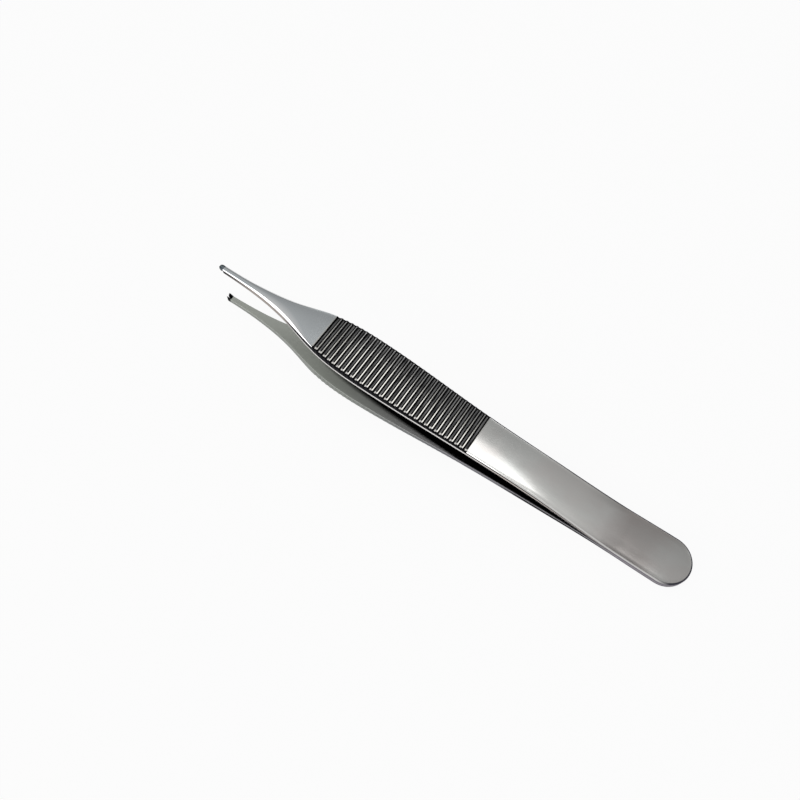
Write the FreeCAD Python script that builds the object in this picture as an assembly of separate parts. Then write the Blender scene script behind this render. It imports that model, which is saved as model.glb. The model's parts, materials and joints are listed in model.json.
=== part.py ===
import FreeCAD, Part
import math
import os
from FreeCAD import Vector

os.makedirs("parts", exist_ok=True)

# Fine-tipped thumb forceps with one tooth against two.
# Two mirrored stainless limbs lie face to face at the heel, where they are welded,
# and spread towards the tips. Millimetres; +X runs from the tips to the heel,
# +Y to the far side and +Z up. The forceps lies on its lower limb, so the floor is z = 0.
# Stations are distances from the heel end, measured along the middle plane.

# Lengths along a limb
weld_length = 14.0
groove_count = 32
groove_pitch = 1.254
handle_length = 50.85
nose_length = 29.0

# Widths of a limb, seen on its outer face
heel_width = 10.4
waist_width = 9.6
grip_rear_width = 10.0
belly_width = 11.55
grip_front_width = 9.5
neck_width = 4.7
shank_width = 1.9
tip_width = 1.25

# Where the narrow and wide places lie within their own stretch
waist_share = 0.64
belly_share = 0.65
neck_share = 0.32
shank_share = 0.64

# Thickness of one limb
weld_thickness = 1.1
waist_thickness = 1.45
grip_rear_thickness = 1.5
belly_thickness = 2.15
grip_front_thickness = 2.4
neck_thickness = 2.2
shank_thickness = 1.85
tip_thickness = 1.35

# Half of the open space between the limbs, from the middle plane to the inner face
waist_half_gap = 1.3
grip_rear_half_gap = 2.35
belly_half_gap = 3.75
grip_front_half_gap = 4.35
neck_half_gap = 4.95
shank_half_gap = 5.27
tip_half_gap = 5.7

# Bevels of 45 degrees: even along the handle, wider and narrower along the nose.
# The outer face rolls over to the tip's end with its own radius.
outer_bevel = 0.3
inner_bevel = 0.15
bevel_at_grip_front = 0.12
bevel_at_neck = 0.55
bevel_at_shank = 0.4
bevel_at_tip = 0.25
tip_nose_radius = 0.45

# Grip grooves: sloping flanks, eased corners and a flat floor, with a flat crest between each two
crest_width = 0.33
groove_depth = 0.36
groove_flank_run = 0.16
groove_corner_run = 0.12
groove_corner_drop = 0.09

# Teeth: one ridge on the upper limb fits the notch between two on the lower,
# and a slot opens the bottom of the notch at the front
tooth_height = 0.85
tooth_length = 1.35
tooth_point_width = 0.12
tooth_flank_slope = 0.25
tooth_clearance = 0.05
tooth_root_clearance = 0.1
tooth_lean = 0.1
tooth_back_sag = 0.12
fork_slot_length = 1.0

# Room that the cutting tools take beyond the metal, and how finely they follow the edges
overrun = 1.0
bevel_steps = 28

# How closely the corners that look for the resting line follow the metal
resting_deviation = 0.02

grip_length = groove_count * groove_pitch
grip_front = handle_length + grip_length
total_length = grip_front + nose_length
heel_radius = heel_width / 2
tip_radius = tip_width / 2
groove_width = groove_pitch - crest_width

waist_station = handle_length * waist_share
belly_station = handle_length + grip_length * belly_share
neck_station = grip_front + nose_length * neck_share
shank_station = grip_front + nose_length * shank_share
round_tip_station = total_length - tip_radius


def at(station, across=0.0, height=0.0):
    return Vector(-station, across, height)


TOWARDS_TIPS = at(1)


def smooth(points, start=None, end=None):
    """Curve through the points, with a set direction at either end where one is given."""
    tangents = [TOWARDS_TIPS] * len(points)
    flags = [False] * len(points)
    if start is not None:
        tangents[0] = start
        flags[0] = True
    if end is not None:
        tangents[-1] = end
        flags[-1] = True
    curve = Part.BSplineCurve()
    curve.interpolate(Points=points, Tangents=tangents, TangentFlags=flags)
    return curve


def point_at(curve, station):
    """Point of a curve that runs steadily towards the tips, at a station."""
    low = curve.FirstParameter
    high = curve.LastParameter
    for step in range(40):
        middle = (low + high) / 2
        if -curve.value(middle).x < station:
            low = middle
        else:
            high = middle
    return curve.value((low + high) / 2)


def edge_curve(side):
    """Long edge of the limb in plan, from the heel's round end to the tip's."""
    points = [
        at(heel_radius, side * heel_width / 2),
        at(waist_station, side * waist_width / 2),
        at(handle_length, side * grip_rear_width / 2),
        at(belly_station, side * belly_width / 2),
        at(grip_front, side * grip_front_width / 2),
        at(neck_station, side * neck_width / 2),
        at(shank_station, side * shank_width / 2),
        at(round_tip_station, side * tip_width / 2),
    ]
    return smooth(points, start=TOWARDS_TIPS, end=TOWARDS_TIPS)


def face_curve(thickness_share):
    """Inner face of the upper limb in side view with a share of 0, its outer face with 1."""
    marks = [
        (weld_length, 0.0, weld_thickness),
        (waist_station, waist_half_gap, waist_thickness),
        (handle_length, grip_rear_half_gap, grip_rear_thickness),
        (belly_station, belly_half_gap, belly_thickness),
        (grip_front, grip_front_half_gap, grip_front_thickness),
        (neck_station, neck_half_gap, neck_thickness),
        (shank_station, shank_half_gap, shank_thickness),
        (total_length, tip_half_gap, tip_thickness),
    ]
    points = [at(s, 0, gap + thickness_share * thickness) for s, gap, thickness in marks]
    return smooth(points, start=TOWARDS_TIPS)


far_edge = edge_curve(1)
inner_curve = face_curve(0)
outer_curve = face_curve(1)
bevel_marks = [
    (0.0, outer_bevel),
    (belly_station, outer_bevel),
    (grip_front, bevel_at_grip_front),
    (neck_station, bevel_at_neck),
    (shank_station, bevel_at_shank),
    (total_length, bevel_at_tip),
]


def inner_height(station):
    return point_at(inner_curve, station).z if station > weld_length else 0.0


def outer_height(station):
    return point_at(outer_curve, station).z if station > weld_length else weld_thickness


def outer_bevel_at(station):
    """Bevel of the outer face, which changes gently from each mark to the next."""
    for (start, value), (end, next_value) in zip(bevel_marks, bevel_marks[1:]):
        if station <= end:
            share = (station - start) / (end - start)
            return value + (next_value - value) * (1 - math.cos(math.pi * share)) / 2
    return bevel_at_tip


def inner_bevel_at(station):
    return inner_bevel


def outline(curves, straights):
    """Closed wire of curves and of straight lines, each given by its two ends."""
    edges = [curve.toShape() for curve in curves]
    edges += [Part.LineSegment(start, end).toShape() for start, end in straights]
    return Part.Wire(Part.sortEdges(edges)[0])


def chain(corners):
    """Straight lines from each corner to the next."""
    return list(zip(corners, corners[1:]))


def plan_block(depth):
    """Outline of the limb seen on its face, drawn up to a height."""
    heel = Part.Arc(at(heel_radius, -heel_radius), at(0), at(heel_radius, heel_radius))
    tip = Part.Arc(
        at(round_tip_station, tip_radius), at(total_length), at(round_tip_station, -tip_radius)
    )
    wire = outline([heel, far_edge, tip, edge_curve(-1)], [])
    return Part.Face(wire).extrude(Vector(0, 0, depth))


def side_block():
    """Side view of the upper limb, drawn across the full width."""
    heel = chain([at(weld_length), at(0), at(0, 0, weld_thickness), at(weld_length, 0, weld_thickness)])
    tip = chain([at(total_length, 0, tip_half_gap + tip_thickness), at(total_length, 0, tip_half_gap)])
    wire = outline([outer_curve, inner_curve], heel + tip)
    wire.translate(Vector(0, -belly_width, 0))
    return Part.Face(wire).extrude(Vector(0, 2 * belly_width, 0))


def bevel_cutter(side, up, height_at, bevel_at, end):
    """Prism that bevels one long edge, from the heel's round end to the end station."""
    points = []
    for step in range(bevel_steps + 1):
        station = heel_radius + (end - heel_radius) * step / bevel_steps
        half_width = point_at(far_edge, min(station, round_tip_station)).y
        reach = (half_width + up * height_at(station) - bevel_at(station)) / 2
        points.append(at(station, side * reach, up * reach))
    away = Vector(0, side, up) * belly_width
    corners = [points[0], points[0] + away, points[-1] + away, points[-1]]
    face = Part.Face(outline([smooth(points)], chain(corners)))
    along_bevel = Vector(0, -side, up) * belly_width
    face.translate(along_bevel * -1)
    return face.extrude(along_bevel * 2)


def end_cutter(station, radius, heelward, up, height, bevel):
    """Ring that bevels the edge of a round end."""
    lip = (radius - bevel) / 2
    corners = [
        at(station, -radius + bevel + lip, height + up * lip),
        at(station, -radius - lip, height - up * (bevel + lip)),
        at(station, -radius - lip, height + up * lip),
    ]
    face = Part.Face(Part.makePolygon(corners + corners[:1]))
    return face.revolve(at(station), Vector(0, 0, heelward), 180)


def nose_cutter():
    """Bar that rounds the outer face over to the tip's end, seen from the side."""
    start = total_length - tip_nose_radius
    top = outer_height(start)
    centre = at(start, 0, top - tip_nose_radius)
    middle = centre + Vector(-1, 0, 1).normalize() * tip_nose_radius
    crown = at(start, 0, top)
    front = at(total_length, 0, top - tip_nose_radius)
    corners = [
        front,
        at(total_length + overrun, 0, top - tip_nose_radius),
        at(total_length + overrun, 0, top + overrun),
        at(start, 0, top + overrun),
        crown,
    ]
    face = Part.Face(outline([Part.Arc(crown, middle, front)], chain(corners)))
    face.translate(Vector(0, -tip_width, 0))
    return face.extrude(Vector(0, 2 * tip_width, 0))


def groove_cutter(index):
    """Bar that leaves one groove across the grip, square to the outer face."""
    station = handle_length + (index + 0.5) * groove_pitch
    ahead = point_at(outer_curve, station + groove_pitch / 2)
    behind = point_at(outer_curve, station - groove_pitch / 2)
    along = (ahead - behind).normalize()
    outward = Vector(along.z, 0, -along.x)
    crest = (ahead + behind) / 2
    half = groove_width / 2
    wall = half - groove_flank_run
    half_profile = [
        (half, overrun),
        (half, 0),
        (wall, groove_corner_drop - groove_depth),
        (wall - groove_corner_run, -groove_depth),
    ]
    mirrored = [(-run, rise) for run, rise in reversed(half_profile)]
    corners = [crest + along * run + outward * rise for run, rise in half_profile + mirrored]
    face = Part.Face(Part.makePolygon(corners + corners[:1]))
    face.translate(Vector(0, -belly_width, 0))
    return face.extrude(Vector(0, 2 * belly_width, 0))


def limb_body():
    """Upper limb without its tooth."""
    blank = plan_block(tip_half_gap + grip_front_thickness).common(side_block())
    tooth_back = total_length - tooth_length
    cutters = []
    for side in (-1, 1):
        cutters.append(bevel_cutter(side, 1, outer_height, outer_bevel_at, total_length))
        cutters.append(bevel_cutter(side, -1, inner_height, inner_bevel_at, tooth_back))
    cutters.append(end_cutter(heel_radius, heel_radius, 1, 1, weld_thickness, outer_bevel))
    cutters.append(end_cutter(heel_radius, heel_radius, 1, -1, 0, inner_bevel))
    tip_height = outer_height(round_tip_station)
    cutters.append(end_cutter(round_tip_station, tip_radius, -1, 1, tip_height, bevel_at_tip))
    cutters.append(nose_cutter())
    cutters.append(Part.makeCompound([groove_cutter(index) for index in range(groove_count)]))
    for cutter in cutters:
        blank = blank.cut(cutter)
    return blank.Solids[0]


def tooth_stock():
    """Metal that stands up from the inner face at the tip, hooked towards the point."""
    back = total_length - tooth_length
    foot = point_at(inner_curve, back)
    root = foot.z + tip_thickness / 2
    point = at(total_length - tooth_lean, 0, tip_half_gap - tooth_height)
    middle = (foot + point) / 2 + Vector(-tooth_back_sag, 0, tooth_back_sag)
    corners = [
        point,
        at(total_length, 0, tip_half_gap),
        at(total_length, 0, root),
        at(back, 0, root),
        foot,
    ]
    face = Part.Face(outline([Part.Arc(foot, middle, point)], chain(corners)))
    face.translate(Vector(0, -tip_width, 0))
    tallest = tip_half_gap + tip_thickness
    return face.extrude(Vector(0, 2 * tip_width, 0)).common(plan_block(tallest))


def flank_prism(extra):
    """Wedge across the tip that forms the single tooth, or the notch when made wider by extra."""
    top = tip_half_gap - tooth_height
    bottom = tip_half_gap + tooth_height + tooth_root_clearance
    half_top = tooth_point_width / 2 + extra
    half_bottom = half_top + (bottom - top) * tooth_flank_slope
    back = total_length - tooth_length
    corners = [
        at(back, -half_top, top),
        at(back, half_top, top),
        at(back, half_bottom, bottom),
        at(back, -half_bottom, bottom),
    ]
    face = Part.Face(Part.makePolygon(corners + corners[:1]))
    return face.extrude(Vector(-tooth_length - overrun, 0, 0))


def end_block(low, high):
    """Everything at the tip between two heights."""
    size = (tooth_length + overrun, 2 * tip_width, high - low)
    corner = at(total_length + overrun, -tip_width, low)
    return Part.makeBox(*size, corner)


def fork_slot():
    """Slot, as wide as the notch at its bottom, that opens the front of the tip right through."""
    width = tooth_point_width + 2 * tooth_clearance
    size = (fork_slot_length + overrun, width, tip_thickness + 2 * overrun)
    return Part.makeBox(*size, at(total_length + overrun, -width / 2, tip_half_gap - overrun))


def upper_limb(blank):
    """Limb with the single tooth, relieved on both sides for the other limb's two."""
    bottom = tip_half_gap + tooth_height + tooth_root_clearance
    relief = end_block(tip_half_gap - overrun, bottom).cut(flank_prism(0.0))
    return blank.cut(relief).removeSplitter().Solids[0]


def lower_limb(blank):
    """Mirrored limb with two teeth and the notch that takes the single one."""
    notch = flank_prism(tooth_clearance).mirror(at(0, 0, tip_half_gap), Vector(0, 0, 1))
    limb = blank.cut(notch).cut(fork_slot()).removeSplitter().Solids[0]
    return limb.mirror(Vector(0, 0, 0), Vector(0, 0, 1))


def resting_slope(solid):
    """Slope of the line under the lower limb that carries the forceps when it lies."""
    points = sorted({(round(p.x, 4), round(p.z, 4)) for p in solid.tessellate(resting_deviation)[0]})
    hull = []
    for x, z in points:
        while len(hull) > 1:
            (x1, z1), (x2, z2) = hull[-2:]
            if (x2 - x1) * (z - z1) > (z2 - z1) * (x - x1):
                break
            hull.pop()
        hull.append((x, z))
    balance = solid.CenterOfMass.x
    for (x1, z1), (x2, z2) in zip(hull, hull[1:]):
        if x1 <= balance <= x2:
            return math.atan2(z2 - z1, x2 - x1)
    return 0.0


def lay_down(solids):
    """Turn the pair so that it lies on the floor, with the origin under its middle."""
    angle = math.degrees(resting_slope(solids["lower_limb"]))
    for solid in solids.values():
        solid.rotate(Vector(0, 0, 0), Vector(0, 1, 0), angle)
    box = Part.makeCompound(list(solids.values())).optimalBoundingBox()
    for solid in solids.values():
        solid.translate(Vector(-box.Center.x, 0, -box.ZMin))


blank = limb_body().fuse(tooth_stock())
solids = {"upper_limb": upper_limb(blank), "lower_limb": lower_limb(blank)}
lay_down(solids)
for name, solid in solids.items():
    solid.exportStep("parts/" + name + ".step")
    print(name, "valid" if solid.isValid() else "not valid", round(solid.Volume, 1), "cubic mm")
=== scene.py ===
import json
import logging
import math
from dataclasses import dataclass
from enum import Enum
from functools import cached_property
from typing import Any

import bmesh
import bpy
import numpy as np
from mathutils import Matrix, Quaternion, Vector


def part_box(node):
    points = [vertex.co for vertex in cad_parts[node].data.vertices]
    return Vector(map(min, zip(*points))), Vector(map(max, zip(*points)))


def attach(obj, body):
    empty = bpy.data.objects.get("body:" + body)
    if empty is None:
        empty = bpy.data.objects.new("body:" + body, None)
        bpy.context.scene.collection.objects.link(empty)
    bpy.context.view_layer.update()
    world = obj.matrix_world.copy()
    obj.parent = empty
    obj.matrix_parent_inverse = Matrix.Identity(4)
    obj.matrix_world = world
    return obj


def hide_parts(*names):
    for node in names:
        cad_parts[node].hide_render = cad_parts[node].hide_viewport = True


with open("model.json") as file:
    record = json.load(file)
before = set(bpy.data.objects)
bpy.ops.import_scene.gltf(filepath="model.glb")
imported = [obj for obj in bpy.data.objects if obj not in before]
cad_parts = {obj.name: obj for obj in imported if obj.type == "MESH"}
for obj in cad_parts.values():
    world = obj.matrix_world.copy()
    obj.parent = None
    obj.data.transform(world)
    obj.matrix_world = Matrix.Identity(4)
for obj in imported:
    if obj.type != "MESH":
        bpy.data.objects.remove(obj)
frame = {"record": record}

# Fine-tipped thumb forceps with one tooth against two, as it lies on a pale studio floor.
# The two limbs are drawn in millimetres in the limb's own frame: X runs back from the heel end
# with the stations counted towards the tips, Y to the far side and Z up from the middle plane.
# Each finished limb is then laid down on the floor, in metres.

LOG = logging.getLogger("thumb_forceps")
METRES_PER_MM = 0.001
IMAGE_SIDE = 800
SENSOR_WIDTH = 36.0

Colour = tuple[float, float, float]
Span = tuple[float, float]
Waves = tuple[float, float, float]


class Side(Enum):
    """The two limbs, with the sign of their outward direction."""

    UPPER = 1
    LOWER = -1


class SmoothLine:
    """A smooth line through marks, each a station along the limb and a measure there, in mm."""

    SAMPLES = 300

    def __init__(self, marks: list[tuple[float, float]], level_end: bool) -> None:
        """Fit the line, which starts level.

        Args:
            marks: Station and measure of each mark, heel first.
            level_end: Whether the line also ends level; otherwise it runs out freely.
        """
        points = np.array(marks, float)
        chords = np.hypot(*np.diff(points, axis=0).T)
        count = len(points)
        system = np.zeros((count, count))
        right = np.zeros((count, 2))
        for i in range(1, count - 1):
            before, after = chords[i - 1], chords[i]
            system[i, i - 1 : i + 2] = 1 / before, 2 * (1 / before + 1 / after), 1 / after
            right[i] = 3 * ((points[i] - points[i - 1]) / before**2 + (points[i + 1] - points[i]) / after**2)
        system[0, 0] = system[-1, -1] = 1
        right[0] = 1, 0
        right[-1] = (1, 0) if level_end else self.free_direction(points, chords)
        directions = np.linalg.solve(system, right)
        u = np.linspace(0, 1, self.SAMPLES)[:, None]
        spans = [
            (2 * u**3 - 3 * u**2 + 1) * points[i]
            + (u**3 - 2 * u**2 + u) * chords[i] * directions[i]
            + (3 * u**2 - 2 * u**3) * points[i + 1]
            + (u**3 - u**2) * chords[i] * directions[i + 1]
            for i in range(count - 1)
        ]
        self.stations, self.measures = np.concatenate(spans).T

    @staticmethod
    def free_direction(points: np.ndarray, chords: np.ndarray) -> np.ndarray:
        """Direction at the last mark of the cubic through the last four.

        Args:
            points: All the marks.
            chords: Distances between neighbouring marks.

        Returns:
            The change of station and measure per unit of chord length.
        """
        run = np.concatenate([[0.0], np.cumsum(chords)])[-4:]
        return np.polyfit(run - run[-1], points[-4:], 3)[2]

    def __call__(self, station: np.ndarray) -> np.ndarray:
        """Measure at each station."""
        return np.interp(station, self.stations, self.measures)


@dataclass(frozen=True)
class LimbSizes:
    """Driving sizes of one limb, in mm, as drawn for the upper one."""

    weld_length: float = 14.0
    groove_count: int = 32
    groove_pitch: float = 1.254
    handle_length: float = 50.85
    nose_length: float = 29.0

    heel_width: float = 10.4
    waist_width: float = 9.6
    grip_rear_width: float = 10.0
    belly_width: float = 11.55
    grip_front_width: float = 9.5
    neck_width: float = 4.7
    shank_width: float = 1.9
    tip_width: float = 1.25

    waist_share: float = 0.64
    belly_share: float = 0.65
    neck_share: float = 0.32
    shank_share: float = 0.64

    weld_thickness: float = 1.1
    waist_thickness: float = 1.45
    grip_rear_thickness: float = 1.5
    belly_thickness: float = 2.15
    grip_front_thickness: float = 2.4
    neck_thickness: float = 2.2
    shank_thickness: float = 1.85
    tip_thickness: float = 1.35

    waist_half_gap: float = 1.3
    grip_rear_half_gap: float = 2.35
    belly_half_gap: float = 3.75
    grip_front_half_gap: float = 4.35
    neck_half_gap: float = 4.95
    shank_half_gap: float = 5.27
    tip_half_gap: float = 5.7

    outer_bevel: float = 0.3
    inner_bevel: float = 0.15
    bevel_at_grip_front: float = 0.12
    bevel_at_neck: float = 0.55
    bevel_at_shank: float = 0.4
    bevel_at_tip: float = 0.25
    tip_nose_radius: float = 0.45
    face_crown: float = 0.05

    crest_width: float = 0.33
    groove_depth: float = 0.36
    groove_flank_run: float = 0.16
    groove_corner_run: float = 0.12
    groove_corner_drop: float = 0.09

    tooth_height: float = 0.85
    tooth_length: float = 1.35
    tooth_point_width: float = 0.12
    tooth_flank_slope: float = 0.25
    tooth_clearance: float = 0.05
    tooth_root_clearance: float = 0.1
    tooth_lean: float = 0.1
    tooth_back_sag: float = 0.12
    fork_slot_length: float = 1.0
    fork_slot_width: float = 0.42

    @property
    def grip_front(self) -> float:
        """Station where the grip ends and the nose begins."""
        return self.handle_length + self.groove_count * self.groove_pitch

    @property
    def total_length(self) -> float:
        """Station of the very tip."""
        return self.grip_front + self.nose_length

    @property
    def heel_radius(self) -> float:
        """Radius of the heel's round end."""
        return self.heel_width / 2

    @property
    def tip_radius(self) -> float:
        """Radius of the tip's round end, seen from above."""
        return self.tip_width / 2

    @property
    def round_tip_station(self) -> float:
        """Station of the centre of the tip's round end."""
        return self.total_length - self.tip_radius

    @property
    def middle_stations(self) -> tuple[float, float, float, float, float, float]:
        """Stations of waist, grip rear, belly, grip front, neck and shank."""
        grip = self.grip_front - self.handle_length
        return (
            self.handle_length * self.waist_share,
            self.handle_length,
            self.handle_length + grip * self.belly_share,
            self.grip_front,
            self.grip_front + self.nose_length * self.neck_share,
            self.grip_front + self.nose_length * self.shank_share,
        )

    @cached_property
    def half_width(self) -> SmoothLine:
        """Half width of the limb along its stations."""
        widths = (
            self.waist_width,
            self.grip_rear_width,
            self.belly_width,
            self.grip_front_width,
            self.neck_width,
            self.shank_width,
        )
        middle = [(s, width / 2) for s, width in zip(self.middle_stations, widths)]
        heel = (self.heel_radius, self.heel_width / 2)
        tip = (self.round_tip_station, self.tip_width / 2)
        return SmoothLine([heel, *middle, tip], level_end=True)

    def face_line(self, thickness_share: float) -> SmoothLine:
        """Height of a face of the limb above the middle plane.

        Args:
            thickness_share: 0 for the inner face and 1 for the outer one.

        Returns:
            The line from the weld's end to the tip.
        """
        gaps = (
            self.waist_half_gap,
            self.grip_rear_half_gap,
            self.belly_half_gap,
            self.grip_front_half_gap,
            self.neck_half_gap,
            self.shank_half_gap,
        )
        metal = (
            self.waist_thickness,
            self.grip_rear_thickness,
            self.belly_thickness,
            self.grip_front_thickness,
            self.neck_thickness,
            self.shank_thickness,
        )
        marks = [(self.weld_length, thickness_share * self.weld_thickness)]
        marks += [
            (s, gap + thickness_share * thick)
            for s, gap, thick in zip(self.middle_stations, gaps, metal)
        ]
        marks.append((self.total_length, self.tip_half_gap + thickness_share * self.tip_thickness))
        return SmoothLine(marks, level_end=False)

    @cached_property
    def inner_height(self) -> SmoothLine:
        """Height of the inner face."""
        return self.face_line(0.0)

    @cached_property
    def outer_height(self) -> SmoothLine:
        """Height of the outer face."""
        return self.face_line(1.0)

    def outer_bevel_at(self, station: np.ndarray) -> np.ndarray:
        """Width of the outer face's bevel, which changes gently from mark to mark.

        Args:
            station: Stations along the limb.

        Returns:
            The bevel at each of them.
        """
        _, _, belly, front, neck, shank = self.middle_stations
        stations = (0.0, belly, front, neck, shank, self.total_length)
        bevels = (
            self.outer_bevel,
            self.outer_bevel,
            self.bevel_at_grip_front,
            self.bevel_at_neck,
            self.bevel_at_shank,
            self.bevel_at_tip,
        )
        span = np.clip(np.searchsorted(stations, station) - 1, 0, len(stations) - 2)
        starts, values = np.array(stations), np.array(bevels)
        share = np.clip((station - starts[span]) / (starts[span + 1] - starts[span]), 0, 1)
        ease = (1 - np.cos(np.pi * share)) / 2
        return values[span] + (values[span + 1] - values[span]) * ease

    def nose_ceiling(self, station: np.ndarray) -> np.ndarray:
        """Height of the round that takes the outer face over to the tip's end.

        Args:
            station: Stations along the limb.

        Returns:
            The highest that the metal reaches at each of them.
        """
        radius = self.tip_nose_radius
        start = self.total_length - radius
        run = np.clip(station - start, 0, radius)
        top = float(self.outer_height(start))
        arc = top - radius + np.sqrt(np.maximum(radius**2 - run**2, 0))
        return np.where(station > start, arc, np.inf)


@dataclass(frozen=True)
class Lie:
    """How the limbs' frame stands in the model's: a turn about Y and a shift, in mm."""

    angle: float
    shift_x: float
    shift_z: float

    @classmethod
    def from_frame(cls, record: dict[str, Any], sizes: LimbSizes) -> "Lie":
        """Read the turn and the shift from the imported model.

        Args:
            record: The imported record, whose mount is the flat outer face at the heel.
            sizes: The limb's sizes.

        Returns:
            The lie of the pair.
        """
        mount = record["mounts"][0]
        axis = mount["axis"]
        angle = math.atan2(-axis[0], -axis[2])
        mount_x, _, mount_z = (value / METRES_PER_MM for value in mount["pos_m"])
        top = sizes.weld_thickness - sizes.outer_bevel
        shift_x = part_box("upper_limb")[1].x / METRES_PER_MM - top * math.sin(angle)
        along = (mount_x - shift_x) * math.sin(angle)
        shift_z = mount_z + (sizes.weld_thickness + along) / math.cos(angle)
        return cls(angle, shift_x, shift_z)

    @property
    def matrix(self) -> Matrix:
        """Matrix from the limbs' frame in mm to the model's frame in metres."""
        shift = Matrix.Translation((self.shift_x, 0, self.shift_z))
        return Matrix.Scale(METRES_PER_MM, 4) @ shift @ Matrix.Rotation(self.angle, 4, "Y")

    def turn(self, direction: tuple[float, float, float]) -> Vector:
        """Direction in the model's frame of one in the limbs' frame."""
        return Matrix.Rotation(self.angle, 3, "Y") @ Vector(direction)


class Value:
    """A number on a socket, with the usual operators as Math nodes."""

    def __init__(self, tree: "Tree", socket: bpy.types.NodeSocket) -> None:
        """Wrap a socket of a tree."""
        self.tree = tree
        self.socket = socket

    def math(self, operation: str, *others: "Value | float", clamp: bool = False) -> "Value":
        """Apply a Math node.

        Args:
            operation: The node's operation.
            others: The second and third operand, where the operation has them.
            clamp: Whether the result is kept between 0 and 1.

        Returns:
            The result.
        """
        settings = {"operation": operation, "use_clamp": clamp}
        return self.tree.node("ShaderNodeMath", settings, self, *others)

    def __add__(self, other: "Value | float") -> "Value":
        """Sum."""
        return self.math("ADD", other)

    def __sub__(self, other: "Value | float") -> "Value":
        """Difference."""
        return self.math("SUBTRACT", other)

    def __rsub__(self, other: float) -> "Value":
        """Difference from a number."""
        return self.tree.node("ShaderNodeMath", {"operation": "SUBTRACT"}, other, self)

    def __mul__(self, other: "Value | float") -> "Value":
        """Product."""
        return self.math("MULTIPLY", other)

    def __truediv__(self, other: "Value | float") -> "Value":
        """Quotient."""
        return self.math("DIVIDE", other)

    def __rtruediv__(self, other: float) -> "Value":
        """Number divided by the value."""
        return self.tree.node("ShaderNodeMath", {"operation": "DIVIDE"}, other, self)

    __radd__ = __add__
    __rmul__ = __mul__

    def clamped(self) -> "Value":
        """Kept between 0 and 1."""
        return self.math("ADD", 0.0, clamp=True)

    def ramp(self, low: float, high: float) -> "Value":
        """Rise from 0 at low to 1 at high, or fall where low is the greater."""
        return self.math("SUBTRACT", low).math("DIVIDE", high - low, clamp=True)

    def over(self, span: Span, origin: float = 0.0) -> "Value":
        """Rise from 0 to 1 over a span that is measured from an origin."""
        return self.ramp(origin + span[0], origin + span[1])


class Tree:
    """A node tree that is built through one method for any node."""

    def __init__(self, tree: bpy.types.NodeTree) -> None:
        """Wrap a tree, emptied."""
        self.tree = tree
        tree.nodes.clear()

    def node(
        self, kind: str, settings: dict[str, Any], *inputs: Any, output: int | str = 0, **named: Any
    ) -> Value:
        """Add a node.

        Args:
            kind: The node's type.
            settings: What is set on the node before its sockets.
            inputs: Values or links of the first sockets, in order.
            output: The socket that is handed back.
            named: Values or links of sockets by name, with an underscore for a blank.

        Returns:
            The output socket, wrapped.
        """
        node = self.tree.nodes.new(kind)
        for name, value in settings.items():
            setattr(node, name, value)
        pairs = list(zip(node.inputs, inputs))
        pairs += [(node.inputs[name.replace("_", " ")], value) for name, value in named.items()]
        for socket, value in pairs:
            self.feed(socket, value)
        return Value(self, node.outputs[output]) if len(node.outputs) else Value(self, node.inputs[0])

    def attribute(self, name: str) -> Value:
        """Number that is kept on the mesh's points under a name."""
        return self.node("ShaderNodeAttribute", {"attribute_name": name}, output="Fac")

    def noise(self, place: Value, scale: Waves, detail: float) -> Value:
        """Noise with its own scale along each axis.

        Args:
            place: The coordinates.
            scale: Waves per metre along each axis.
            detail: Finer layers.

        Returns:
            The noise, about 0.5 on average.
        """
        spread = self.node("ShaderNodeMapping", {"vector_type": "POINT"}, place, Scale=scale)
        return self.node("ShaderNodeTexNoise", {"noise_dimensions": "3D"}, spread, Scale=1.0, Detail=detail)

    def blend(self, share: Value, first: Any, second: Any) -> Value:
        """Colour that goes from the first to the second with the share."""
        skipped = [None] * 5
        return self.node("ShaderNodeMix", {"data_type": "RGBA"}, share, *skipped, first, second, output=2)

    def feed(self, socket: bpy.types.NodeSocket, value: Any) -> None:
        """Link a wrapped value to a socket, or set the socket to a plain one."""
        if value is None:
            return
        if isinstance(value, Value):
            self.tree.links.new(value.socket, socket)
        elif isinstance(value, tuple) and len(value) == 3 and socket.type == "RGBA":
            socket.default_value = (*value, 1.0)
        else:
            socket.default_value = value


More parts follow.
